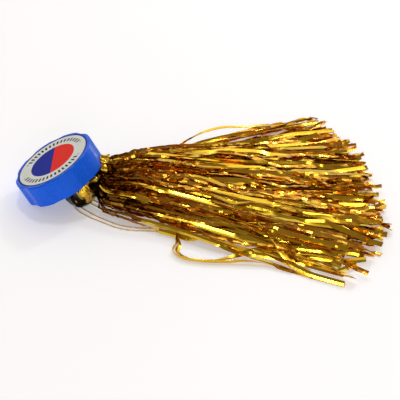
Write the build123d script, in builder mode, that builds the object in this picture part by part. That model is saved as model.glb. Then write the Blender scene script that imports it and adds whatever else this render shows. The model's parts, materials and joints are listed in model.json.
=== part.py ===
from build123d import *
from math import cos, pi, radians, sin, tan
import os

# Cheering tassel: a fringe of gold foil strands hung by two wire links under a round
# plastic grip cap, with two elastic finger loops tied to its head.
#
# It lies on a floor at z = 0, with the strands along +X and the cap leaning on its rim at -X.
# Millimetres, +Z up. The origin is the middle of the bottom of the object's box.

os.makedirs("parts", exist_ok=True)

# ---- driving dimensions ----------------------------------------------------------------

# Grip cap
cap_radius = 27.5
cap_height = 15.0
cap_lean = 27.9              # degrees between the face of the cap and the floor
face_thickness = 2.0
cavity_radius = 25.0
edge_round = 1.0
groove_count = 8
groove_depth = 1.0
groove_span = 20.0           # degrees of the rim that one finger groove takes
groove_blend = 2.5
label_radius = 24.8
label_thickness = 0.5
label_gap = 0.3

# Anchor bar across the mouth of the cap, and the two lugs that hold it
bar_radius = 1.5
bar_depth = 4.0              # inside the mouth
bar_half_length = 22.0
lug_width = 7.0
lug_inner = 19.0             # from the cap's axis
lug_floor = 1.0              # inside the mouth

# Wire link on the bar, and the tie loop that hooks into it
wire_radius = 0.6
link_gap = 0.3
link_reach = 4.5             # from the bar to the sway axis

# Head of the tassel
head_start = 7.8             # from the bar along +X
head_length = 8.0
head_radius = 9.0
band_start = 2.5
band_width = 3.0
band_thickness = 0.8
tie_depth = 4.0

# Fan of tinsel
fan_reach = 203.0            # longest tip, from the middle of the cap's mouth
fan_apex = 29.0              # the point the strands radiate from, behind the mouth
fan_half_angle = 25.2
fan_round = 8.0              # how much shorter the outer strands reach
lock_gap = 0.35
lower_locks = 12
upper_locks = 8
upper_share = 0.74           # part of the fan's angle that the upper layer covers
neck_flat = 0.92
lower_tip_cuts = (0.0, 6.0, 2.0, 8.0, 3.0, 6.0)
upper_tip_cuts = (10.0, 4.0, 12.0, 6.0, 9.0, 5.0, 14.0, 7.0)
lower_crown = 0.3            # how far the outer locks' roofs sink
upper_crown = 0.55

# Elastic finger loops
elastic_diameter = 1.0
knot_radius = 1.7
knot_angles = {"loop_knot_1": 218, "loop_knot_2": 252}    # round the band

# Single strands that have strayed from the fan
strand_width = 3.2
strand_thickness = 0.4

# ---- worked-out places -----------------------------------------------------------------

# A finger groove is an arc that leaves the rim circle at both ends of its span.
half_span = radians(groove_span / 2)
groove_floor = cap_radius - groove_depth
edge_in = cap_radius * cos(half_span) - groove_floor
edge_out = cap_radius * sin(half_span)
groove_radius = (edge_in**2 + edge_out**2) / (2 * edge_in)

with BuildSketch() as lobed_rim:
    Circle(cap_radius)
    with PolarLocations(groove_floor + groove_radius, groove_count):
        Circle(groove_radius, mode=Mode.SUBTRACT)
    fillet(lobed_rim.vertices(), groove_blend)

# The cap stands on the two lobes beside its lowest groove.
lean = radians(cap_lean)
rim_reach = lobed_rim.sketch.bounding_box().max.X
rim_height = rim_reach * sin(lean)
cap_back = cap_height * sin(lean) + rim_reach * cos(lean)
rim_x = (cap_back - fan_reach) / 2

uphill = Vector(cos(lean), 0, sin(lean))
outward = Vector(-sin(lean), 0, cos(lean))
rim_centre = Vector(rim_x, 0, rim_height)
cap_plane = Plane(origin=rim_centre, x_dir=uphill, z_dir=outward)

bar_centre = rim_centre + outward * bar_depth
sway_centre = bar_centre + Vector(link_reach, 0, 0)
head_x = bar_centre.X + head_start
neck_x = head_x + head_length
head_z = bar_centre.Z
apex_x = rim_x - fan_apex


def save(piece, name):
    """Label a finished piece and write it as its own STEP file."""
    piece.label = name
    export_step(piece, f"parts/{name}.step")


# ---- grip cap --------------------------------------------------------------------------

with BuildPart() as cap_shell:
    with BuildSketch(cap_plane):
        add(lobed_rim.sketch)
    extrude(amount=cap_height)
    face_edges = cap_shell.faces().sort_by(cap_plane.location.z_axis)[-1].edges()
    fillet(face_edges, edge_round)
    with BuildSketch(cap_plane):
        Circle(cavity_radius)
    extrude(amount=cap_height - face_thickness, mode=Mode.SUBTRACT)
    with BuildSketch(cap_plane.offset(cap_height - label_thickness)):
        Circle(label_radius + label_gap)
    extrude(amount=label_thickness, mode=Mode.SUBTRACT)
    lug_reach = cavity_radius + label_thickness - lug_inner
    with BuildSketch(cap_plane.offset(lug_floor)):
        with Locations((0, lug_inner + lug_reach / 2), (0, -lug_inner - lug_reach / 2)):
            Rectangle(lug_width, lug_reach)
    extrude(amount=cap_height - face_thickness - lug_floor)
    with BuildSketch(Plane(origin=bar_centre, x_dir=uphill, z_dir=(0, 1, 0))):
        Circle(bar_radius)
    extrude(amount=bar_half_length, both=True, mode=Mode.SUBTRACT)

with BuildPart() as face_label:
    with BuildSketch(cap_plane.offset(cap_height - label_thickness)):
        Circle(label_radius)
    extrude(amount=label_thickness)

with BuildPart() as anchor_bar:
    with BuildSketch(Plane(origin=bar_centre, x_dir=uphill, z_dir=(0, 1, 0))):
        Circle(bar_radius)
    extrude(amount=bar_half_length, both=True)

save(cap_shell.part, "cap_shell")
save(face_label.part, "face_label")
save(anchor_bar.part, "anchor_bar")

# ---- wire link and tie loop ------------------------------------------------------------

# The link is a long ring in the XZ plane. It turns on the bar, about Y.
bar_bend = bar_radius + link_gap + wire_radius
link_straight = link_reach - bar_bend
with BuildPart() as wire_link:
    with BuildLine(Plane.XZ.offset(-bar_centre.Y)) as link_path:
        upper_run = Line(
            (bar_centre.X, head_z + bar_bend), (bar_centre.X + link_straight, head_z + bar_bend)
        )
        CenterArc((bar_centre.X + link_straight, head_z), bar_bend, 90, -180)
        Line((bar_centre.X + link_straight, head_z - bar_bend), (bar_centre.X, head_z - bar_bend))
        CenterArc((bar_centre.X, head_z), bar_bend, 270, -180)
    with BuildSketch(Plane(origin=upper_run @ 0, z_dir=(1, 0, 0))):
        Circle(wire_radius)
    sweep(path=link_path.wires()[0])

# The tie loop is a U of wire in the XY plane. It turns on the end of the link, about Z.
tie_bend = 2 * wire_radius + link_gap
tie_end = head_x + tie_depth
with BuildPart() as tie_loop:
    with BuildLine(Plane.XY.offset(head_z)) as tie_path:
        near_leg = Line((tie_end, -tie_bend), (sway_centre.X, -tie_bend))
        CenterArc((sway_centre.X, 0), tie_bend, 270, -180)
        Line((sway_centre.X, tie_bend), (tie_end, tie_bend))
    with BuildSketch(Plane(origin=near_leg @ 0, z_dir=(-1, 0, 0))):
        Circle(wire_radius)
    sweep(path=tie_path.wires()[0])

save(wire_link.part, "wire_link")
save(tie_loop.part, "tie_loop")

# ---- head of the tassel ----------------------------------------------------------------

head_plane = Plane(origin=(head_x, 0, head_z), x_dir=(0, 1, 0), z_dir=(1, 0, 0))

with BuildPart() as foil_header:
    with BuildSketch(head_plane):
        Circle(head_radius)
    extrude(amount=head_length)
    with BuildSketch(head_plane):
        with Locations((tie_bend, 0), (-tie_bend, 0)):
            Circle(wire_radius)
    extrude(amount=tie_depth, mode=Mode.SUBTRACT)

with BuildPart() as neck_band:
    with BuildSketch(head_plane.offset(band_start)):
        Circle(head_radius + band_thickness)
        Circle(head_radius, mode=Mode.SUBTRACT)
    extrude(amount=band_width)

save(foil_header.part, "foil_header")
save(neck_band.part, "neck_band")

# ---- locks of tinsel -------------------------------------------------------------------

# Each layer's floor and roof at the neck, the shoulder, the middle and the tips.
station_reach = (fan_apex + 30.0, fan_apex + 96.0, fan_apex + 176.0)
lower_floor = (head_z - 8.6, 2.6, 2.4, 0.0)
lower_roof = (head_z - 0.2, 12.5, 10.5, 6.0)
upper_floor = (head_z + 0.2, 12.9, 10.9, 6.4)
upper_roof = (head_z + 5.8, 22.8, 20.0, 11.0)


def lock_section(plane, width, floor, roof):
    """A rectangle of the lock, standing on its plane between two heights."""
    with BuildSketch(plane) as section:
        with Locations((0, (floor + roof) / 2)):
            Rectangle(width, roof - floor)
    return section.sketch


def lock_solid(slot, slots, share, tip_cut, floors, roofs, crown):
    """One wedge-shaped lock of strands, from the neck to its tips."""
    middle = (2 * slot + 1) / slots - 1
    spread = radians(fan_half_angle) * share
    angle = middle * spread
    half_slot = spread / slots
    neck_spread = head_radius * neck_flat * share
    droop = 1 - crown * middle**2
    roofs = [floor + (roof - floor) * droop for floor, roof in zip(floors, roofs)]

    neck_plane = Plane(
        origin=(neck_x, middle * neck_spread, 0), x_dir=(0, 1, 0), z_dir=(1, 0, 0)
    )
    neck_width = 2 * neck_spread / slots - lock_gap
    sections = [lock_section(neck_plane, neck_width, floors[0], roofs[0])]

    tip_reach = fan_apex + fan_reach - fan_round * (middle * share) ** 2 - tip_cut
    direction = Vector(cos(angle), sin(angle), 0)
    reaches = (*station_reach, tip_reach)
    lows = (*floors[1:], floors[-1])
    highs = (*roofs[1:], roofs[-1])
    for reach, low, high in zip(reaches, lows, highs):
        plane = Plane(
            origin=Vector(apex_x, 0, 0) + direction * reach,
            x_dir=(-sin(angle), cos(angle), 0),
            z_dir=direction,
        )
        width = 2 * reach * tan(half_slot) - lock_gap
        sections.append(lock_section(plane, width, low, high))
    with BuildPart() as lock:
        add(sections)
        loft(ruled=True)
    return lock.part


for slot in range(lower_locks):
    from_edge = min(slot, lower_locks - 1 - slot)
    tip_cut = 0.0 if slot == lower_locks // 2 else lower_tip_cuts[from_edge]
    lock = lock_solid(slot, lower_locks, 1.0, tip_cut, lower_floor, lower_roof, lower_crown)
    save(lock, f"tinsel_lower_{slot + 1:02d}")

for slot in range(upper_locks):
    tip_cut = upper_tip_cuts[slot]
    lock = lock_solid(
        slot, upper_locks, upper_share, tip_cut, upper_floor, upper_roof, upper_crown
    )
    save(lock, f"tinsel_upper_{slot + 1:02d}")

# ---- stray strands ---------------------------------------------------------------------

# Flat ribbons on the floor beside the two edges of the fan: plan points from the rim.
stray_routes = {
    "stray_strand_near": [
        (71, -56), (69, -63), (74, -71), (86, -75), (99, -76), (113, -76),
        (127, -78), (136, -82), (153, -90), (169, -97),
    ],
    "stray_strand_far": [
        (88, 61), (101, 69.5), (116, 75.5), (129, 78.5), (148, 87.5), (169, 97),
    ],
}

for name, route in stray_routes.items():
    with BuildPart() as stray:
        with BuildSketch():
            with BuildLine() as stray_line:
                Spline([(rim_x + x, y) for x, y in route])
            trace(stray_line.line, strand_width)
        extrude(amount=strand_thickness)
    save(stray.part, name)

# ---- elastic finger loops --------------------------------------------------------------

elastic_radius = elastic_diameter / 2

for name, angle in knot_angles.items():
    with BuildPart() as knot:
        with BuildSketch(head_plane.offset(band_start)):
            with PolarLocations(head_radius + band_thickness + knot_radius, 1, angle):
                Circle(knot_radius)
        extrude(amount=band_width)
    save(knot.part, name)

# Routes from the upper knot, out over the floor and back to the lower knot, from the rim.
loop_routes = {
    "finger_loop_1": [
        (9.6, -10.4, 8.0), (7.2, -13.8, 5.2), (6.6, -17.4, 2.0), (11.0, -22.0, 0.5),
        (17.5, -27.5, 0.5), (26.0, -33.0, 0.5), (34.5, -38.8, 0.5), (44.0, -41.6, 0.5),
        (53.5, -41.9, 0.5), (63.0, -43.6, 0.5), (71.5, -47.6, 0.5), (78.5, -48.6, 0.5),
        (84.5, -45.5, 0.5), (86.5, -38.5, 0.5), (83.0, -31.5, 0.5), (75.5, -28.8, 0.5),
        (65.0, -28.2, 0.5), (54.5, -27.2, 0.5), (44.0, -24.6, 0.5), (34.5, -19.4, 0.5),
        (26.0, -13.4, 0.5), (19.0, -8.8, 0.7), (14.5, -5.8, 1.8), (11.0, -3.8, 3.5),
    ],
    "finger_loop_2": [
        (10.2, -9.4, 7.4), (8.8, -11.9, 4.3), (9.6, -15.4, 1.4), (14.0, -19.4, 0.5),
        (20.5, -25.2, 0.5), (28.5, -31.2, 0.5), (37.5, -36.8, 0.5), (47.0, -39.0, 0.5),
        (57.0, -39.6, 0.5), (65.5, -41.7, 0.5), (72.6, -42.7, 0.5), (78.2, -41.8, 0.5),
        (81.4, -38.0, 0.5), (80.4, -33.6, 0.5), (75.6, -31.8, 0.5), (68.6, -33.0, 0.5),
        (59.0, -33.6, 0.5), (49.0, -32.2, 0.5),
        (39.5, -28.6, 0.5), (30.5, -22.6, 0.5), (22.5, -16.4, 0.5), (16.5, -11.8, 1.0),
        (12.6, -8.2, 2.4), (10.4, -5.0, 4.2),
    ],
}


def turn_radii(points):
    """Radius of each corner: 0.45 of the shorter run over the tangent of half the turn."""
    radii = []
    for before, corner, after in zip(points, points[1:], points[2:]):
        run_in = corner - before
        run_out = after - corner
        turn = run_in.get_angle(run_out)
        radii.append(0.45 * min(run_in.length, run_out.length) / tan(radians(turn / 2)))
    return radii


for name, route in loop_routes.items():
    points = [Vector(rim_x + x, y, z) for x, y, z in route]
    radii = turn_radii(points)
    with BuildPart() as loop:
        with BuildLine() as loop_path:
            FilletPolyline(points, radius=radii)
        with BuildSketch(Plane(origin=points[0], z_dir=points[1] - points[0])):
            Circle(elastic_radius)
        sweep(path=loop_path.wires()[0])
    length = loop_path.wires()[0].length
    section_volume = pi * elastic_radius**2 * length
    print(name, "length", round(length, 1), "volume ratio",
          round(loop.part.volume / section_volume, 4), "radii", [round(r, 1) for r in radii])
    save(loop.part, name)
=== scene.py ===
"""The cheering tassel's looks: gold foil strands, crumpled film header, elastic loops, blue cap.

Everything is in metres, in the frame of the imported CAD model. The strands radiate from a point
behind the cap, in two layers of locks. Each lock stands for the CAD wedge of the same name.
"""

import json
import math

import bpy
import numpy as np
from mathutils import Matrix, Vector


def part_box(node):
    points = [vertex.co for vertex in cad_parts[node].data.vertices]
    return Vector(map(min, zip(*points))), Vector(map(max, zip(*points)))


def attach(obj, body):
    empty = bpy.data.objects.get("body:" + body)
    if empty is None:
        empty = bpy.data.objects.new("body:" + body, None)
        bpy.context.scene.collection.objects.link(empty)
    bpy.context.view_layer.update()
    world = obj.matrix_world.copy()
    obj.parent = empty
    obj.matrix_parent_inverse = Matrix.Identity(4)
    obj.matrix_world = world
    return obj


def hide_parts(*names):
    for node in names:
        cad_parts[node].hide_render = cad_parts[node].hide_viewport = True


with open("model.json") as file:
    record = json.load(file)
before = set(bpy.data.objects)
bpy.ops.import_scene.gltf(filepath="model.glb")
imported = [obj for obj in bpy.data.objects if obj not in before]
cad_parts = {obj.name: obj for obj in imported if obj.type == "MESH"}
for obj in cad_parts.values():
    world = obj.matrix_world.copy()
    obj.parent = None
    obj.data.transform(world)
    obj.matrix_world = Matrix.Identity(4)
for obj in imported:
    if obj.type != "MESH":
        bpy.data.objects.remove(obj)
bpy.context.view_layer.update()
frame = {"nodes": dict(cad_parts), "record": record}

MM = 0.001
UP = np.array([0.0, 0.0, 1.0])

# ---- places worked out from the frame --------------------------------------------------

CAP_HEIGHT = 15.0 * MM
LABEL_RADIUS = 24.8 * MM
mounts = {mount["name"]: mount for mount in frame["record"]["mounts"]}
joints = {joint["name"]: joint for joint in frame["record"]["behaviour"]["joints"]}
face_centre = np.array(mounts["cap_face"]["pos_m"])
face_normal = np.array(mounts["cap_face"]["axis"])
uphill = np.array([face_normal[2], 0.0, -face_normal[0]])
rim_centre = face_centre - face_normal * CAP_HEIGHT
rim_x = rim_centre[0]
head_z = joints["tassel_sway"]["pos_m"][2]
header_low, header_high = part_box("foil_header")
head_x, neck_x = header_low[0], header_high[0]
head_radius = (header_high[1] - header_low[1]) / 2

# ---- camera ----------------------------------------------------------------------------

CAMERA_ELEVATION = math.radians(33.0)
CAMERA_DISTANCE = 0.800
CAMERA_LENS = 112.1          # millimetres
SENSOR_WIDTH = 36.0          # millimetres
CAMERA_TARGET = (rim_x + 85.75 * MM, 0.0, -4.2 * MM)


def make_camera():
    """A long lens from the near side, looking down at the tassel."""
    data = bpy.data.cameras.new("camera")
    data.lens = CAMERA_LENS
    data.sensor_width = SENSOR_WIDTH
    camera = bpy.data.objects.new("camera", data)
    bpy.context.collection.objects.link(camera)
    back = Vector((0.0, -math.cos(CAMERA_ELEVATION), math.sin(CAMERA_ELEVATION)))
    camera.location = Vector(CAMERA_TARGET) + back * CAMERA_DISTANCE
    camera.rotation_mode = "QUATERNION"
    camera.rotation_quaternion = (-back).to_track_quat("-Z", "Y")
    bpy.context.scene.camera = camera


make_camera()

# ---- material helpers ------------------------------------------------------------------


class Surface:
    """A material's node tree, with short calls to add nodes and join them."""

    def __init__(self, name):
        self.material = bpy.data.materials.new(name)
        self.material.use_nodes = True
        self.tree = self.material.node_tree
        self.shader = self.tree.nodes["Principled BSDF"]
        self.position = self.add("ShaderNodeTexCoord").outputs["Object"]

    def add(self, kind, **settings):
        """A new node with some of its settings changed."""
        node = self.tree.nodes.new(kind)
        for key, value in settings.items():
            setattr(node, key, value)
        return node

    def feed(self, socket, value):
        """Link an output to a socket, or set the socket to a number or a colour."""
        if isinstance(value, bpy.types.NodeSocket):
            self.tree.links.new(value, socket)
        elif isinstance(value, tuple) and socket.type == "RGBA":
            socket.default_value = (*value, 1.0)
        else:
            socket.default_value = value

    def set(self, **values):
        """Feed the shader's own sockets, named with underscores for spaces."""
        for name, value in values.items():
            self.feed(self.shader.inputs[name.replace("_", " ")], value)

    def noise(self, scale, detail=2.0, roughness=0.5):
        """Soft noise over the object's own coordinates; scale is in waves a metre."""
        node = self.add("ShaderNodeTexNoise")
        self.feed(node.inputs["Vector"], self.position)
        node.inputs["Scale"].default_value = scale
        node.inputs["Detail"].default_value = detail
        node.inputs["Roughness"].default_value = roughness
        return node.outputs["Fac"]

    def math(self, operation, *values):
        """The result of a sum on outputs and numbers."""
        node = self.add("ShaderNodeMath", operation=operation)
        for socket, value in zip(node.inputs, values):
            self.feed(socket, value)
        return node.outputs[0]

    def ramp(self, fac, *stops):
        """Colours or greys at places along a ramp."""
        node = self.add("ShaderNodeValToRGB")
        elements = node.color_ramp.elements
        while len(elements) < len(stops):
            elements.new(0.5)
        for element, (place, colour) in zip(elements, stops):
            element.position = place
            rgb = colour if isinstance(colour, tuple) else (colour,) * 3
            element.color = (*rgb, 1.0)
        self.feed(node.inputs["Fac"], fac)
        return node.outputs["Color"]

    def mix(self, fac, first, second):
        """The first colour where fac is 0, the second where it is 1."""
        node = self.add("ShaderNodeMix", data_type="RGBA")
        colours = [socket for socket in node.inputs if socket.type == "RGBA"]
        self.feed(node.inputs[0], fac)
        self.feed(colours[0], first)
        self.feed(colours[1], second)
        return next(socket for socket in node.outputs if socket.type == "RGBA")

    def bump(self, height, strength, distance):
        """Make the surface look raised where height is large."""
        node = self.add("ShaderNodeBump")
        node.inputs["Strength"].default_value = strength
        node.inputs["Distance"].default_value = distance
        self.feed(node.inputs["Height"], height)
        self.set(Normal=node.outputs["Normal"])


PATCH_SCALE = 90.0           # waves a metre in the foil's bright and deep patches; on the header film the deep patches are painted shade
SCUFF_SCALE = 260.0          # waves a metre
SCUFF_ROUGHNESS = 0.18       # how much rougher the foil is where it is scuffed
CRINKLE_DEPTH = 0.4 * MM
# Painted shade on crushed foil near the neck: its dark colour, and how far it reaches.
NECK_SHADE_COLOUR = (0.26, 0.105, 0.012)
NECK_SHADE_LENGTH = 62.0 * MM    # how far beyond the neck the painted shade on crushed strands reaches


def gold_foil(name, bright, deep_tone_and_shade, roughness, crinkle, crinkle_scale, patches=(0.35, 0.65),
              neck_shade=False):
    """Metallised gold film: nearly a mirror, with crinkles and patches of a deeper colour. On the
    header film these patches are near-black painted shade.
    With the neck shade on, painted shade darkens the film towards the neck, where little light gets
    between the strands."""
    foil = Surface(name)
    colour = foil.ramp(foil.noise(PATCH_SCALE), (patches[0], deep_tone_and_shade), (patches[1], bright))
    # painted shade: dark brown at the neck, fading to the foil's own colour beyond it
    if neck_shade:
        parts = foil.add("ShaderNodeSeparateXYZ")
        foil.feed(parts.inputs[0], foil.position)
        beyond = foil.math("SUBTRACT", parts.outputs["X"], float(neck_x))
        colour = foil.mix(foil.math("DIVIDE", beyond, NECK_SHADE_LENGTH), NECK_SHADE_COLOUR, colour)
    scuffs = foil.noise(SCUFF_SCALE, 3.0)
    foil.set(
        Metallic=1.0,
        Base_Color=colour,
        Roughness=foil.ramp(scuffs, (0.3, roughness), (0.8, roughness + SCUFF_ROUGHNESS)),
    )
    foil.bump(foil.noise(crinkle_scale, 3.0, 0.6), crinkle, CRINKLE_DEPTH)
    return foil.material


FOIL = gold_foil(
    "gold_foil", bright=(0.79, 0.53, 0.038), deep_tone_and_shade=(0.74, 0.43, 0.028),
    roughness=0.12, crinkle=0.24, crinkle_scale=260.0,
)
# Crumpled foil carries the painted shade near the neck.
CRUMPLED = gold_foil(
    "crumpled_foil", bright=(0.84, 0.46, 0.05), deep_tone_and_shade=(0.70, 0.29, 0.03),
    roughness=0.14, crinkle=0.35, crinkle_scale=500.0, neck_shade=True,
)
# The header film's near-black deep patches are painted shade between its folds.
FILM = gold_foil(
    "header_film", bright=(0.80, 0.48, 0.04), deep_tone_and_shade=(0.012, 0.006, 0.002),
    roughness=0.08, crinkle=0.2, crinkle_scale=90.0, patches=(0.54, 0.58),
)

# ---- mesh helpers ----------------------------------------------------------------------


def add_mesh(name, vertices, faces, material, smooth=None, sharp=None):
    """A mesh object, shaded flat unless smooth has a flag for each face. sharp is a function that
    picks the sharp edges from the vertices at their ends."""
    mesh = bpy.data.meshes.new(name)
    mesh.from_pydata(vertices.tolist(), [], faces)
    mesh.materials.append(material)
    if smooth is not None:
        mesh.polygons.foreach_set("use_smooth", smooth)
    if sharp is not None:
        ends = np.empty(2 * len(mesh.edges), dtype=np.int32)
        mesh.edges.foreach_get("vertices", ends)
        marks = mesh.attributes.new("sharp_edge", "BOOLEAN", "EDGE")
        marks.data.foreach_set("value", sharp(ends.reshape(-1, 2)))
    mesh.update()
    piece = bpy.data.objects.new(name, mesh)
    bpy.context.collection.objects.link(piece)
    return piece


def smooth_step(value):
    """Ease from 0 to 1 as the value goes from 0 to 1."""
    value = np.clip(value, 0.0, 1.0)
    return value * value * (3.0 - 2.0 * value)


def unit(vectors):
    """The vectors at length 1."""
    return vectors / np.linalg.norm(vectors, axis=-1, keepdims=True)


def smooth_curve(stations, points, places):
    """Places on a smooth curve through points, with cubic pieces between the points' stations."""
    slopes = np.gradient(points, stations, axis=0)
    spans = np.clip(np.searchsorted(stations, places) - 1, 0, len(stations) - 2)
    width = (stations[spans + 1] - stations[spans])[:, None]
    t = (places - stations[spans])[:, None] / width
    return (
        (2 * t**3 - 3 * t**2 + 1) * points[spans]
        + (t**3 - 2 * t**2 + t) * width * slopes[spans]
        + (3 * t**2 - 2 * t**3) * points[spans + 1]
        + (t**3 - t**2) * width * slopes[spans + 1]
    )


# ---- finger loops ----------------------------------------------------------------------

ELASTIC_DIAMETER = 1.0 * MM

# The routes of the CAD tubes: millimetres from the middle of the cap's rim, and above the floor.
LOOP_ROUTES = {
    "finger_loop_1": [
        (9.6, -10.4, 8.0), (7.2, -13.8, 5.2), (6.6, -17.4, 2.0), (11.0, -22.0, 0.5),
        (17.5, -27.5, 0.5), (26.0, -33.0, 0.5), (34.5, -38.8, 0.5), (44.0, -41.6, 0.5),
        (53.5, -41.9, 0.5), (63.0, -43.6, 0.5), (71.5, -47.6, 0.5), (78.5, -48.6, 0.5),
        (84.5, -45.5, 0.5), (86.5, -38.5, 0.5), (83.0, -31.5, 0.5), (75.5, -28.8, 0.5),
        (65.0, -28.2, 0.5), (54.5, -27.2, 0.5), (44.0, -24.6, 0.5), (34.5, -19.4, 0.5),
        (26.0, -13.4, 0.5), (19.0, -8.8, 0.7), (14.5, -5.8, 1.8), (11.0, -3.8, 3.5),
    ],
    "finger_loop_2": [
        (10.2, -9.4, 7.4), (8.8, -11.9, 4.3), (9.6, -15.4, 1.4), (14.0, -19.4, 0.5),
        (20.5, -25.2, 0.5), (28.5, -31.2, 0.5), (37.5, -36.8, 0.5), (47.0, -39.0, 0.5),
        (57.0, -39.6, 0.5), (65.5, -41.7, 0.5), (72.6, -42.7, 0.5), (78.2, -41.8, 0.5),
        (81.4, -38.0, 0.5), (80.4, -33.6, 0.5), (75.6, -31.8, 0.5), (68.6, -33.0, 0.5),
        (59.0, -33.6, 0.5), (49.0, -32.2, 0.5),
        (39.5, -28.6, 0.5), (30.5, -22.6, 0.5), (22.5, -16.4, 0.5), (16.5, -11.8, 1.0),
        (12.6, -8.2, 2.4), (10.4, -5.0, 4.2),
    ],
}


def elastic_material():
    """Slightly translucent tan elastic, a little uneven along its length."""
    elastic = Surface("elastic")
    elastic.set(
        Base_Color=elastic.ramp(
            elastic.noise(400.0), (0.3, (0.76, 0.56, 0.32)), (0.7, (0.96, 0.80, 0.56))
        ),
        Roughness=0.25,
        Transmission_Weight=0.1,
        IOR=1.45,
    )
    elastic.bump(elastic.noise(1500.0), 0.3, 0.1 * MM)
    return elastic.material


ELASTIC = elastic_material()


def rim_point(x, y, z):
    """A point given in millimetres from the middle of the cap's rim."""
    return (rim_x + x * MM, y * MM, z * MM)


def make_loop(name, route):
    """A finger loop: one NURBS spline through its route, from the upper knot to the lower one."""
    curve = bpy.data.curves.new(name + "_elastic", "CURVE")
    curve.dimensions = "3D"
    curve.bevel_depth = ELASTIC_DIAMETER / 2
    curve.bevel_resolution = 3
    curve.resolution_u = 8
    curve.use_fill_caps = True
    spline = curve.splines.new("NURBS")
    spline.points.add(len(route) - 1)
    for point, place in zip(spline.points, route):
        point.co = (*rim_point(*place), 1.0)
    spline.order_u = 3
    spline.use_endpoint_u = True
    curve.materials.append(ELASTIC)
    loop = bpy.data.objects.new(name + "_elastic", curve)
    bpy.context.collection.objects.link(loop)
    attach(loop, "tassel")
    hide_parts(name)


for loop_name, loop_route in LOOP_ROUTES.items():
    make_loop(loop_name, loop_route)

KNOT_TURNS = 3
KNOT_SIDES = 8
KNOT_STEPS = 24              # in each turn
KNOT_TAPER = 0.3             # how much narrower the winding is at its ends


def make_knot(name):
    """The end of a loop, wound tightly round itself where it is tied to the band."""
    low, high = (np.array(corner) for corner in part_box(name))
    centre = (low + high) / 2
    tube = ELASTIC_DIAMETER / 2
    winding = (high[2] - low[2]) / 2 - tube
    turns = np.linspace(0.0, KNOT_TURNS * 2 * math.pi, KNOT_TURNS * KNOT_STEPS + 1)
    along = np.linspace(low[0] + tube, high[0] - tube, len(turns))
    barrel = np.sin(np.linspace(0.0, math.pi, len(turns)))
    radius = winding * (1.0 - KNOT_TAPER + KNOT_TAPER * barrel)
    outward = np.stack([np.zeros(len(turns)), np.cos(turns), np.sin(turns)], axis=1)
    axis = np.stack([along, np.full(len(turns), centre[1]), np.full(len(turns), centre[2])], axis=1)
    line = axis + radius[:, None] * outward
    ahead = unit(np.gradient(line, axis=0))
    out = unit(outward - ahead * (outward * ahead).sum(axis=1, keepdims=True))
    side = np.cross(ahead, out)
    rounds = np.linspace(0.0, 2 * math.pi, KNOT_SIDES, endpoint=False)[None, :, None]
    rings = line[:, None] + tube * (out[:, None] * np.cos(rounds) + side[:, None] * np.sin(rounds))
    faces = []
    for ring in range(len(turns) - 1):
        for corner in range(KNOT_SIDES):
            after = (corner + 1) % KNOT_SIDES
            first, second = ring * KNOT_SIDES, (ring + 1) * KNOT_SIDES
            faces.append((first + corner, second + corner, second + after, first + after))
    last = (len(turns) - 1) * KNOT_SIDES
    faces.append(tuple(range(KNOT_SIDES)))
    faces.append(tuple(last + corner for corner in reversed(range(KNOT_SIDES))))
    knot = add_mesh(name + "_winding", rings.reshape(-1, 3), faces, ELASTIC, [True] * len(faces))
    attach(knot, "tassel")
    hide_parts(name)


for knot_name in ("loop_knot_1", "loop_knot_2"):
    make_knot(knot_name)

# ---- foil ribbons ----------------------------------------------------------------------

STRAND_WIDTH = 3.2 * MM
FOIL_THICKNESS = 0.08 * MM
FLOOR_GAP = 0.12 * MM        # foil stays at least this far above the floor
RINGS = 72                   # stations along a strand
RING_POINTS = 6              # a folded ribbon: three points on top, three below
END_QUADS = 4                # two on each end of a strand
CREASE_WIDTH = 2.0 * MM      # the length over which the roll changes at a crease
FEWEST_CREASES = 2
FEWEST_BENDS = 3
BEND_GROWTH = 0.7            # the share of a strand's length over which its bends grow


def ribbon(line, roll, fold):
    """Rings of a ribbon that follows a line, rolled about it and folded along its middle."""
    ahead = unit(np.gradient(line, axis=0))
    side = unit(np.cross(ahead, UP))
    face = np.cross(side, ahead)
    turn, lift = np.cos(roll)[:, None], np.sin(roll)[:, None]
    side, face = side * turn + face * lift, face * turn - side * lift
    reach = STRAND_WIDTH / 2 * np.cos(fold)[:, None]
    rise = STRAND_WIDTH / 2 * np.sin(fold)[:, None]
    below = face * FOIL_THICKNESS
    left = line - side * reach + face * rise
    right = line + side * reach + face * rise
    rings = np.stack([left, line, right, right - below, line - below, left - below], axis=1)
    dip = FLOOR_GAP - rings[:, :, 2].min(axis=1)
    rings[:, :, 2] += np.clip(dip, 0.0, None)[:, None]
    return rings


def ribbon_faces(first):
    """Side faces between a ribbon's rings, and two quads on each end."""
    faces = []
    for ring in range(RINGS - 1):
        base = first + ring * RING_POINTS
        for corner in range(RING_POINTS):
            after = (corner + 1) % RING_POINTS
            faces.append((base + corner, base + after,
                          base + after + RING_POINTS, base + corner + RING_POINTS))
    last = first + (RINGS - 1) * RING_POINTS
    faces.append((first + 1, first, first + 5, first + 4))
    faces.append((first + 2, first + 1, first + 4, first + 3))
    faces.append((last, last + 1, last + 4, last + 5))
    faces.append((last + 1, last + 2, last + 3, last + 4))
    return faces


def ribbon_edges(ends):
    """A ribbon's long edges, its middle fold and its cut ends are sharp."""
    rings = ends // RING_POINTS
    along = rings[:, 0] != rings[:, 1]
    cut = (rings[:, 0] % RINGS == 0) | (rings[:, 0] % RINGS == RINGS - 1)
    return along | cut


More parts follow.
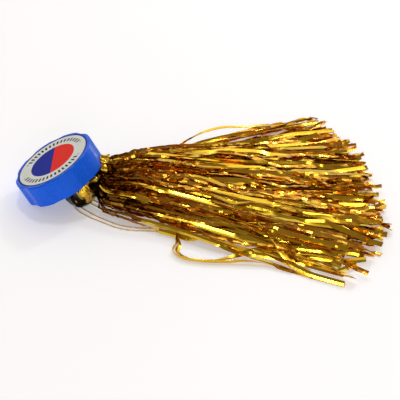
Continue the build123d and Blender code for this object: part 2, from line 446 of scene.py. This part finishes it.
def ribbon_mesh(name, strands, rough):
    """One mesh of many strands. rough has a flag for each span between rings: a rough span is
    shaded flat, in the crumpled material."""
    vertices = np.concatenate([rings.reshape(-1, 3) for rings in strands])
    faces, smooth = [], []
    for number, flags in enumerate(rough):
        faces.extend(ribbon_faces(number * RINGS * RING_POINTS))
        smooth.extend(np.repeat(~flags, RING_POINTS).tolist())
        smooth.extend([not flags[-1]] * END_QUADS)
    piece = add_mesh(name, vertices, faces, FOIL, smooth, ribbon_edges)
    piece.data.materials.append(CRUMPLED)
    piece.data.polygons.foreach_set("material_index", (~np.array(smooth)).astype(np.int32))
    return piece


def declare_ribbons(piece, node):
    """The strands stand for a CAD node: they join the tassel's body, and the node is hidden."""
    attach(piece, "tassel")
    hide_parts(node)


def creases(random, places, spacing, size):
    """Roll that holds steady along a strand and changes quickly at each crease in the film."""
    count = max(FEWEST_CREASES, int((places[-1] - places[0]) / spacing))
    marks = np.sort(random.uniform(places[0], places[-1], count))
    values = random.normal(0.0, size, count + 1)
    roll = np.full_like(places, values[0])
    for mark, change in zip(marks, np.diff(values)):
        roll += change * smooth_step((places - mark) / CREASE_WIDTH)
    return roll


def bends(random, places, spacing, size):
    """Straight runs that wander aside, joined by slight bends; size grows along the strand."""
    length = places[-1] - places[0]
    count = max(FEWEST_BENDS, int(length / spacing))
    marks = np.sort(random.uniform(places[0], places[-1], count))
    marks = np.concatenate([places[:1], marks, places[-1:]])
    grown = size * smooth_step((marks - places[0]) / (BEND_GROWTH * length))
    return np.interp(places, marks, random.normal(0.0, 1.0, count + 2) * grown)


# ---- fan of tinsel ---------------------------------------------------------------------

FAN_APEX = 29.0 * MM         # where the rays of the fan meet, behind the rim's middle
FAN_REACH = 203.0 * MM       # from the rim's middle to the longest tips
FAN_HALF_ANGLE = math.radians(25.2)
FAN_EDGE_SLACK = math.radians(1.2)    # how far strands may wander past the fan's sides
FAN_ROUND = 8.0 * MM         # how much shorter the fan is at its sides
TIP_CUT = 9.0                # millimetres, the mean and the spread of how far tips fall short
TIP_CUT_LIMIT = 32.0         # millimetres
NECK_REACH = 38.0 * MM       # where the strands start, inside the header
NECK_FILL = 0.74             # how much of the header's radius the strands fill
OPENING_START = 5.0 * MM     # beyond the strands' start
OPENING = 19.0 * MM          # how far the strands take to spread from the neck
CROWDING = 1.25              # rings lie closer together towards the neck

# How a strand wanders off its ray: sideways, with one kink, and up and down.
SWAY_SPACING = 34.0 * MM
SWAY = 3.4 * MM
KINK_PLACE = (0.3, 0.85)     # a share of the tip's distance from the apex
KINK_TURN = 0.13             # radians
LIFT_SPACING = 30.0 * MM
LIFT = 0.2                   # a share of the layer's depth
HIGHEST_LIFT = 1.05          # just above the layer's roof

# How a strand is rolled, folded and crumpled. Rolls and folds are in radians, and crumple is a
# share. Most strands are crushed together in the header's mouth, and they settle as the fan opens.
HELD_LENGTH = 12.0 * MM      # the header holds this much of a strand
SETTLING_LENGTH = (40.0, 110.0)    # millimetres, picked for each strand
SMOOTH_SHARE = 0.24          # the share of strands that leave the neck uncrushed
SMOOTH_CRUSHING = 0.15       # how much of the crushing such a strand still gets
CRUSHED_ROLL = 1.4
CRUSHED_FOLD = (0.8, 1.3)
CRUSHED_CRUMPLE = (0.3, 0.7)       # the least, and what chance adds
CREASE_SPACING = (14.0, 45.0)      # millimetres, picked for each strand
CREASE_ROLL = 0.30

# Settled strands: the figure low in the layer, and how much less it is on top of the fan.
SETTLED_ROLL = (0.8, 0.3)
SETTLED_FOLD = (0.5, 0.4)
SETTLED_CRUMPLE = (1.0, 0.3)
LEAST_FOLD = -0.02
CRUMPLE_DRAWS = (-0.4, 0.6)  # a draw below zero leaves the strand smooth
FAR_SIDE_CRUMPLE = 0.5       # draws start higher on the fan's far side and lower on its near side

# How much a fully crumpled strand is rolled, folded and shifted from ring to ring.
CRUMPLE_ROLL = 0.8
CRUMPLE_FOLD = 0.5
CRUMPLE_SHIFT = 0.35 * MM
ROUGH_CRUMPLE = 0.12         # spans that are more crumpled than this are rough

# The layers' floors and roofs are given at these distances from the apex.
LAYER_REACH = np.array([38.0, 59.0, 76.0, 125.0, 205.0, 240.0]) * MM

# share: how much of the fan's angle the layer takes. crown: how much lower it is at its sides.
# neck_side: up or down from the header's middle. on_top: how much its top is the top of the fan.
# strands: how many in each lock. cuts: millimetres that each lock is shorter.
LAYERS = {
    "lower": {
        "seed": 7, "share": 1.0, "crown": 0.3, "neck_side": -1.0, "on_top": 0.4,
        "strands": (7, 17, 22, 22, 22, 22, 22, 22, 22, 22, 19, 11),
        "cuts": (0.0, 4.0, -3.0, -5.0, 0.0, 4.0, 4.0, 4.0, 5.0, 3.0, 8.0, 6.0),
        "floor": np.array([2.6, 2.6, 2.6, 2.4, 0.3, 0.3]) * MM,
        "roof": np.array([12.5, 12.5, 12.4, 10.5, 6.0, 6.0]) * MM,
    },
    "upper": {
        "seed": 107, "share": 0.74, "crown": 0.55, "neck_side": 1.0, "on_top": 1.0,
        "strands": (24, 26, 26, 26, 26, 26, 26, 24),
        "cuts": (6.0, 0.0, 6.0, 6.0, 9.0, 6.0, 14.0, 12.0),
        "floor": np.array([12.9, 12.9, 12.6, 10.0, 5.5, 5.5]) * MM,
        "roof": np.array([19.5, 20.2, 24.5, 19.0, 10.5, 10.0]) * MM,
    },
}


def ray_line(random, layer, angle, places, level):
    """Points along a ray of the fan, with some wander, at a level between floor and roof."""
    half_angle = FAN_HALF_ANGLE * layer["share"]
    sway = bends(random, places, SWAY_SPACING, SWAY)
    kink = random.uniform(*KINK_PLACE) * places[-1]
    sway += random.normal(0.0, KINK_TURN) * np.clip(places - kink, 0.0, None)
    limit = half_angle + FAN_EDGE_SLACK
    ray = np.clip(angle + sway / places, -limit, limit)

    droop = 1.0 - layer["crown"] * (angle / half_angle) ** 2
    floor = np.interp(places, LAYER_REACH, layer["floor"])
    roof = np.interp(places, LAYER_REACH, layer["roof"])
    lift = np.clip(level + bends(random, places, LIFT_SPACING, LIFT), 0.0, HIGHEST_LIFT)
    high = floor + (roof - floor) * droop * lift
    return np.stack([rim_x - FAN_APEX + places * np.cos(ray), places * np.sin(ray), high], axis=1)


def neck_line(layer, angle, places, level):
    """Points straight out of the header, at a strand's own place in its round mouth. The layers
    meet at the middle of the mouth, so the lower one is stacked up to it and the upper one from it."""
    radius = head_radius * NECK_FILL
    depth = radius * level if layer["neck_side"] > 0 else radius * (1.0 - level)
    beside = angle / FAN_HALF_ANGLE * radius
    depth = min(depth, math.sqrt(max(radius**2 - beside**2, 0.0)))
    return np.stack([rim_x - FAN_APEX + places, np.full(RINGS, beside),
                     np.full(RINGS, head_z + layer["neck_side"] * depth)], axis=1)


def fan_line(random, layer, angle, places, level):
    """A strand's middle line: out of the neck, then along its ray of the fan."""
    opened = smooth_step((places - NECK_REACH - OPENING_START) / OPENING)[:, None]
    neck = neck_line(layer, angle, places, level)
    return neck * (1.0 - opened) + ray_line(random, layer, angle, places, level) * opened


def fan_strand(random, layer, angle, tip_reach, level):
    """One strand of the fan, from inside the header to its tip, and flags for its rough spans."""
    places = NECK_REACH + (tip_reach - NECK_REACH) * np.linspace(0.0, 1.0, RINGS) ** CROWDING
    line = fan_line(random, layer, angle, places, level)
    settling = random.uniform(*SETTLING_LENGTH) * MM
    settled = smooth_step((places - NECK_REACH - HELD_LENGTH) / settling)
    on_top = layer["on_top"] * level

    lying = random.normal(0.0, SETTLED_ROLL[0] - SETTLED_ROLL[1] * on_top)
    crushing = 1.0 if random.uniform(0.0, 1.0) > SMOOTH_SHARE else SMOOTH_CRUSHING
    crushed = crushing * (1.0 - settled)
    roll = random.uniform(-CRUSHED_ROLL, CRUSHED_ROLL) * crushed + lying * settled
    roll += creases(random, places, random.uniform(*CREASE_SPACING) * MM, CREASE_ROLL)
    fold = random.uniform(*CRUSHED_FOLD) * crushed
    fold += random.uniform(LEAST_FOLD, SETTLED_FOLD[0] - SETTLED_FOLD[1] * on_top) * settled

    least, chance = CRUSHED_CRUMPLE
    crumple = (least + chance * random.uniform(0.0, 1.0) ** 2) * crushed
    lowest, highest = CRUMPLE_DRAWS
    lowest += FAR_SIDE_CRUMPLE * angle / FAN_HALF_ANGLE
    drawn = max(0.0, random.uniform(lowest, highest))
    crumple += drawn * (SETTLED_CRUMPLE[0] - SETTLED_CRUMPLE[1] * on_top) * settled
    roll += CRUMPLE_ROLL * crumple * random.normal(0.0, 1.0, RINGS)
    fold += CRUMPLE_FOLD * crumple * np.abs(random.normal(0.0, 1.0, RINGS))
    free = smooth_step((places - NECK_REACH) / HELD_LENGTH)
    line = line + random.normal(0.0, CRUMPLE_SHIFT, (RINGS, 3)) * (crumple * free)[:, None]
    return ribbon(line, roll, fold), crumple[1:] > ROUGH_CRUMPLE


def make_lock(layer_name, number):
    """The strands that stand for one CAD lock."""
    layer = LAYERS[layer_name]
    node = f"tinsel_{layer_name}_{number + 1:02d}"
    random = np.random.RandomState(layer["seed"] + number)
    locks = len(layer["strands"])
    middle = (2 * number + 1) / locks - 1
    longest = FAN_APEX + FAN_REACH - FAN_ROUND * (middle * layer["share"]) ** 2
    longest -= layer["cuts"][number] * MM
    strands, rough = [], []
    count = layer["strands"][number]
    for strand in range(count):
        across = middle + random.uniform(-1.0, 1.0) / locks
        level = (strand + random.uniform(0.0, 1.0)) / count
        tip = longest - np.clip(random.normal(TIP_CUT, TIP_CUT), 0.0, TIP_CUT_LIMIT) * MM
        angle = FAN_HALF_ANGLE * layer["share"] * across
        rings, flags = fan_strand(random, layer, angle, tip, level)
        strands.append(rings)
        rough.append(flags)
    lock = ribbon_mesh(node + "_strands", strands, rough)
    declare_ribbons(lock, node)


for layer_name, layer in LAYERS.items():
    for number in range(len(layer["strands"])):
        make_lock(layer_name, number)

# ---- stray strands ---------------------------------------------------------------------

STRAY_SEEDS = {"stray_strand_near": 17, "stray_strand_far": 16}

# Points in millimetres from the middle of the cap's rim, and above the floor. The first strand
# of each group lies along its CAD node.
STRAY_ROUTES = {
    "stray_strand_near": [
        [(72, -46, 4), (71, -56, 1), (69, -63, 0), (74, -71, 0), (86, -75, 0), (99, -76, 1),
         (113, -76, 2), (127, -78, 1), (136, -82, 0), (153, -90, 0), (169, -97, 0)],
        [(70, -44, 5), (73, -58, 1), (72, -64, 0), (77, -70, 0), (92, -73, 0), (106, -71, 2),
         (118, -66, 3), (132, -66, 4), (146, -70, 3)],
        [(84, -48, 6), (92, -56, 4), (102, -64, 3), (113, -72, 3), (126, -77, 2), (140, -84, 1)],
        [(120, -52, 12), (128, -62, 8), (135, -73, 4), (141, -82, 2)],
    ],
    "stray_strand_far": [
        [(70, 52, 4), (88, 61, 0), (101, 69.5, 0), (116, 75.5, 0), (129, 78.5, 0),
         (148, 87.5, 0), (169, 97, 0)],
        [(70, 34, 14), (84, 46, 17), (100, 56, 17), (116, 61, 15), (134, 71, 11), (158, 85, 6)],
        [(66, 28, 14), (84, 40, 14), (104, 53, 12), (128, 66, 9), (150, 78, 6), (164, 87, 3)],
        [(96, 48, 12), (120, 60, 10), (142, 72, 8), (160, 80, 6), (172, 84, 5)],
    ],
}

# Stray strands leave the fan on edge and turn flat in two goes. Angles are in radians, starts and
# lengths are shares of the strand's length, and the second go starts elsewhere in each group.
ON_EDGE = 1.4
FIRST_TURN = 0.8
FIRST_START = 0.08
FIRST_LENGTH = 0.12
SECOND_TURN = 0.6
SECOND_START = {"stray_strand_near": 0.45, "stray_strand_far": 0.1}
SECOND_LENGTH = 0.2
STRAY_ROLL = 0.15            # the spread of how whole strands are rolled
STRAY_CREASE_SPACING = 30.0 * MM
STRAY_FOLD = 0.5             # where the strand leaves the fan


def stray_strand(random, route, second_start):
    """A strand through the points of its route."""
    points = np.array([rim_point(*place) for place in route])
    stations = np.concatenate([[0.0], np.cumsum(np.linalg.norm(np.diff(points, axis=0), axis=1))])
    places = np.linspace(0.0, stations[-1], RINGS)
    line = smooth_curve(stations, points, places)
    share = places / places[-1]
    roll = ON_EDGE - FIRST_TURN * smooth_step((share - FIRST_START) / FIRST_LENGTH)
    roll -= SECOND_TURN * smooth_step((share - second_start) / SECOND_LENGTH)
    roll += random.normal(0.0, STRAY_ROLL)
    roll += creases(random, places, STRAY_CREASE_SPACING, CREASE_ROLL)
    return ribbon(line, roll, STRAY_FOLD * (1.0 - share))


def make_strays(node):
    """A group of strands that lie beside the fan. None of their spans is rough."""
    random = np.random.RandomState(STRAY_SEEDS[node])
    strands = [stray_strand(random, route, SECOND_START[node]) for route in STRAY_ROUTES[node]]
    strays = ribbon_mesh(node + "s", strands, [np.zeros(RINGS - 1, bool)] * len(strands))
    declare_ribbons(strays, node)


for stray_node in STRAY_ROUTES:
    make_strays(stray_node)

# ---- film header -----------------------------------------------------------------------

FILM_THICKNESS = 0.1 * MM
FILM_STEPS = 90              # round one turn
FILM_ROWS = 20               # along its width
SWELL_SIDE = math.pi / 3     # from the far side towards the top
SWELL_FADE = 1.15            # above 1, the swelling ends before the film's outer edge
SWELL_ROUND = 0.8            # below 1, most of it is near the cap
FILM_FOLDS = (4, 7, 12, 19, 31)    # folds in two turns
FOLD_DRIFT = 4.0             # radians, the spread of how far folds drift from edge to edge
EDGE_WAVES = 3.3             # in a turn
EDGE_PHASE = 2.0

# Heights as shares of a film's crumple.
FOLD_HEIGHT = 2.2
RADIUS_GRAIN = 0.22
EDGE_HEIGHT = 0.8
EDGE_GRAIN = 0.2


def sheet_faces(rows, columns):
    """Faces of a thin closed sheet: its two sides and its four edges."""
    below = rows * columns
    faces = []
    for row in range(rows - 1):
        for column in range(columns - 1):
            corner = row * columns + column
            quad = (corner, corner + 1, corner + columns + 1, corner + columns)
            faces.append(quad)
            faces.append(tuple(below + index for index in reversed(quad)))
    outline = list(range(columns))
    outline += [row * columns + columns - 1 for row in range(1, rows)]
    outline += [(rows - 1) * columns + column for column in range(columns - 2, -1, -1)]
    outline += [row * columns for row in range(rows - 2, 0, -1)]
    for here, there in zip(outline, outline[1:] + outline[:1]):
        faces.append((there, here, below + here, below + there))
    return faces


def film_radius(random, turn, row, radii, swell, crumple):
    """How far wound film is from the head's axis: it winds outwards, swells and is folded."""
    radius = radii[0] + (radii[1] - radii[0]) * turn / turn.max()
    upward = 0.5 + 0.5 * np.cos(turn - SWELL_SIDE)
    bulge = np.sin(math.pi * np.clip(SWELL_FADE * row, 0.0, 1.0) ** SWELL_ROUND)
    radius = radius + bulge * (swell[1] + (swell[0] - swell[1]) * upward)
    for folds in FILM_FOLDS:
        phase = random.uniform(0.0, 2 * math.pi)
        drift = random.normal(0.0, FOLD_DRIFT) * row
        wave = np.sin(folds * turn / 2 + phase + drift)
        radius = radius + crumple * FOLD_HEIGHT * wave / folds**0.5
    return radius + random.normal(0.0, RADIUS_GRAIN, radius.shape) * crumple


def rolled_film(name, seed, turns, span, radii, swell, spill, crumple):
    """Film wound about the head's axis. span is its two edges along X, radii are at the two ends
    of the winding, swell is how far it stands out between its edges, on the upper far side and on
    the lower near side, and spill is how far its first edge reaches back under the head."""
    random = np.random.RandomState(seed)
    steps = int(turns * FILM_STEPS)
    turn, row = np.meshgrid(
        np.linspace(0.0, turns * 2 * math.pi, steps), np.linspace(0.0, 1.0, FILM_ROWS)
    )
    radius = film_radius(random, turn, row, radii, swell, crumple)
    x = span[0] + (span[1] - span[0]) * row
    x = x - spill * np.clip(-np.sin(turn), 0.0, None) * (1.0 - row)
    x = x + crumple * EDGE_HEIGHT * np.sin(EDGE_WAVES * turn + EDGE_PHASE)
    x = x + crumple * random.normal(0.0, EDGE_GRAIN, x.shape)
    outward = np.stack([np.zeros_like(x), np.cos(turn), np.sin(turn)], axis=-1)
    axis = np.stack([x, np.zeros_like(x), np.full_like(x, head_z)], axis=-1)
    top = axis + radius[..., None] * outward
    top[..., 2] = np.maximum(top[..., 2], FLOOR_GAP + FILM_THICKNESS)
    under = top - outward * FILM_THICKNESS
    vertices = np.concatenate([top.reshape(-1, 3), under.reshape(-1, 3)])
    film = add_mesh(name, vertices, sheet_faces(FILM_ROWS, steps), FILM)
    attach(film, "tassel")
    return film


HEADER_SPAN = (head_x - 2.0 * MM, neck_x + 1.0 * MM)
COLLAR_SPAN = (head_x - 0.5 * MM, neck_x + 14.0 * MM)
header = rolled_film(
    "foil_header_roll", seed=3, turns=3.0, span=HEADER_SPAN,
    radii=(4.6 * MM, head_radius - 0.5 * MM), swell=(0.0, 0.0), spill=0.0, crumple=0.06 * MM,
)
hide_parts("foil_header")
rolled_film(
    "foil_collar", seed=11, turns=1.3, span=COLLAR_SPAN,
    radii=(head_radius + 0.8 * MM, head_radius + 1.8 * MM), swell=(1.0 * MM, 12.5 * MM),
    spill=8.5 * MM, crumple=0.9 * MM,
)

# ---- cap, label, band and wire ---------------------------------------------------------


def paint(node, material):
    """Give a carried-over CAD node its material."""
    mesh = frame["nodes"][node].data
    mesh.materials.clear()
    mesh.materials.append(material)


def cap_plastic():
    """Glossy moulded blue plastic with faint flow marks and small scuffs."""
    plastic = Surface("cap_plastic")
    plastic.set(
        Base_Color=plastic.ramp(
            plastic.noise(60.0), (0.3, (0.003, 0.125, 0.88)), (0.7, (0.004, 0.140, 0.94))
        ),
        Roughness=plastic.ramp(plastic.noise(500.0, 4.0), (0.4, 0.24), (0.7, 0.32)),
        Specular_IOR_Level=0.18,
    )
    plastic.bump(plastic.noise(120.0), 0.02, 0.3 * MM)
    return plastic.material


# Distances on the label are shares of its radius.
LABEL_DISC = 0.63
LABEL_EDGE = 0.97            # outside this the label is coloured dark, a thin line round its edge
TICK_COUNT = 44
TICK_RING = (0.74, 0.87)
TICK_SPAN = (0.25, 0.72)     # the printed part of each tick's step
TICK_GAP = 0.30              # half the width of the strip that has no ticks
NAVY = (0.022, 0.034, 0.36)
RED = (0.95, 0.040, 0.024)
TICK_INK = (0.02, 0.02, 0.03)
EDGE_LINE_COLOUR = (0.01, 0.04, 0.22)


def label_print():
    """Coated paper: a pale field, a plain two-tone disc and a ring of small marks."""
    label = Surface("label_print")

    def along(direction):
        """Distance from the label's middle in one direction."""
        dot = label.add("ShaderNodeVectorMath", operation="DOT_PRODUCT")
        label.feed(dot.inputs[0], label.position)
        dot.inputs[1].default_value = tuple(direction / LABEL_RADIUS)
        offset = float(np.dot(face_centre, direction)) / LABEL_RADIUS
        return label.math("SUBTRACT", dot.outputs["Value"], offset)

    up = along(uphill)
    across = along(np.array([0.0, 1.0, 0.0]))
    squares = [label.math("MULTIPLY", side, side) for side in (up, across)]
    radius = label.math("SQRT", label.math("ADD", *squares))
    angle = label.math("ARCTAN2", across, up)

    def band(value, low, high):
        """1 where the value is between two bounds."""
        above = label.math("GREATER_THAN", value, low)
        return label.math("MULTIPLY", above, label.math("LESS_THAN", value, high))

    paper = label.ramp(label.noise(120.0), (0.3, (0.82, 0.86, 0.78)), (0.7, (0.88, 0.91, 0.87)))
    disc = label.mix(label.math("GREATER_THAN", up, 0.0), NAVY, RED)
    step = label.math("FRACT", label.math("MULTIPLY", angle, TICK_COUNT / (2 * math.pi)))
    ticks = label.math("MULTIPLY", band(step, *TICK_SPAN), band(radius, *TICK_RING))
    outside_gap = label.math("GREATER_THAN", label.math("ABSOLUTE", across), TICK_GAP)
    colour = label.mix(label.math("MULTIPLY", ticks, outside_gap), paper, TICK_INK)
    colour = label.mix(label.math("LESS_THAN", radius, LABEL_DISC), colour, disc)
    colour = label.mix(label.math("GREATER_THAN", radius, LABEL_EDGE), colour, EDGE_LINE_COLOUR)
    label.set(Base_Color=colour, Roughness=0.6, Specular_IOR_Level=0.05)
    label.bump(label.noise(900.0), 0.05, 0.1 * MM)
    return label.material


def steel_wire():
    """Drawn steel with fine streaks."""
    steel = Surface("steel_wire")
    steel.set(
        Base_Color=steel.ramp(steel.noise(150.0), (0.3, 0.42), (0.7, 0.58)),
        Metallic=1.0,
        Roughness=steel.ramp(steel.noise(900.0, 3.0), (0.3, 0.22), (0.7, 0.38)),
    )
    steel.bump(steel.noise(1500.0), 0.15, 0.05 * MM)
    return steel.material


def band_tape():
    """Gold tape, pulled tight and slightly wrinkled."""
    tape = Surface("band_tape")
    tape.set(
        Base_Color=tape.ramp(
            tape.noise(200.0), (0.3, (0.42, 0.24, 0.04)), (0.7, (0.62, 0.38, 0.07))
        ),
        Metallic=0.6,
        Roughness=0.3,
    )
    tape.bump(tape.noise(500.0, 3.0), 0.5, 0.4 * MM)
    return tape.material


paint("cap_shell", cap_plastic())
paint("face_label", label_print())
paint("neck_band", band_tape())
steel_material = steel_wire()
for steel_node in ("anchor_bar", "wire_link", "tie_loop"):
    paint(steel_node, steel_material)

# ---- floor and lights ------------------------------------------------------------------

FLOOR_HALF = 3.0
FLOOR_GLOW = 0.31            # lifts the floor to a clean white without brighter lights
ROOM_STRENGTH = 1.36

# The room's brightness by how far a direction leans to the far side: overhead and the near side
# are dim, and the far side is light.
WALLS = ((0.0, (0.18, 0.15, 0.14)), (0.7, (0.64, 0.64, 0.64)))

# Place, size and radiance of each light.
SOFTBOXES = {
    "high_box": ((0.50, 0.55, 1.00), (0.9, 0.7), 0.7),
    "spark_1": ((-0.10, 0.30, 1.20), (0.12, 0.12), 40.0),
    "spark_2": ((0.45, 0.80, 0.70), (0.12, 0.12), 40.0),
    "fill": ((0.10, -0.95, 0.36), (0.35, 0.3), 5.5),
}


def make_floor():
    """A pale, faintly glowing floor that runs on past the view."""
    corners = [(-1, -1), (1, -1), (1, 1), (-1, 1)]
    vertices = np.array([(x * FLOOR_HALF, y * FLOOR_HALF, 0.0) for x, y in corners])
    white = Surface("white_floor")
    white.set(
        Base_Color=white.ramp(white.noise(3.0), (0.0, 0.88), (1.0, 0.92)),
        Roughness=0.6,
        Emission_Color=(1.0, 1.0, 1.0),
        Emission_Strength=FLOOR_GLOW,
    )
    add_mesh("floor", vertices, [(0, 1, 2, 3)], white.material)


def make_room():
    """A studio that is light behind the object, and dim and warm overhead and on the near side."""
    world = bpy.data.worlds.new("studio")
    world.use_nodes = True
    tree = world.node_tree
    direction = tree.nodes.new("ShaderNodeTexCoord")
    parts = tree.nodes.new("ShaderNodeSeparateXYZ")
    walls = tree.nodes.new("ShaderNodeValToRGB")
    walls.color_ramp.interpolation = "EASE"
    for element, (place, colour) in zip(walls.color_ramp.elements, WALLS):
        element.position = place
        element.color = (*colour, 1.0)
    tree.links.new(direction.outputs["Generated"], parts.inputs[0])
    tree.links.new(parts.outputs["Y"], walls.inputs["Fac"])
    tree.links.new(walls.outputs["Color"], tree.nodes["Background"].inputs["Color"])
    tree.nodes["Background"].inputs["Strength"].default_value = ROOM_STRENGTH
    bpy.context.scene.world = world


def softbox(name, place, size, radiance):
    """A rectangular light aimed at the frame's origin, under the middle of the object."""
    data = bpy.data.lights.new(name, "AREA")
    data.shape = "RECTANGLE"
    data.size, data.size_y = size
    data.energy = radiance * math.pi * size[0] * size[1]
    light = bpy.data.objects.new(name, data)
    bpy.context.collection.objects.link(light)
    light.location = place
    light.rotation_mode = "QUATERNION"
    light.rotation_quaternion = (-Vector(place)).to_track_quat("-Z", "Y")


make_floor()
make_room()
for box_name, (box_place, box_size, box_radiance) in SOFTBOXES.items():
    softbox(box_name, box_place, box_size, box_radiance)
bpy.context.scene.view_settings.view_transform = "Standard"
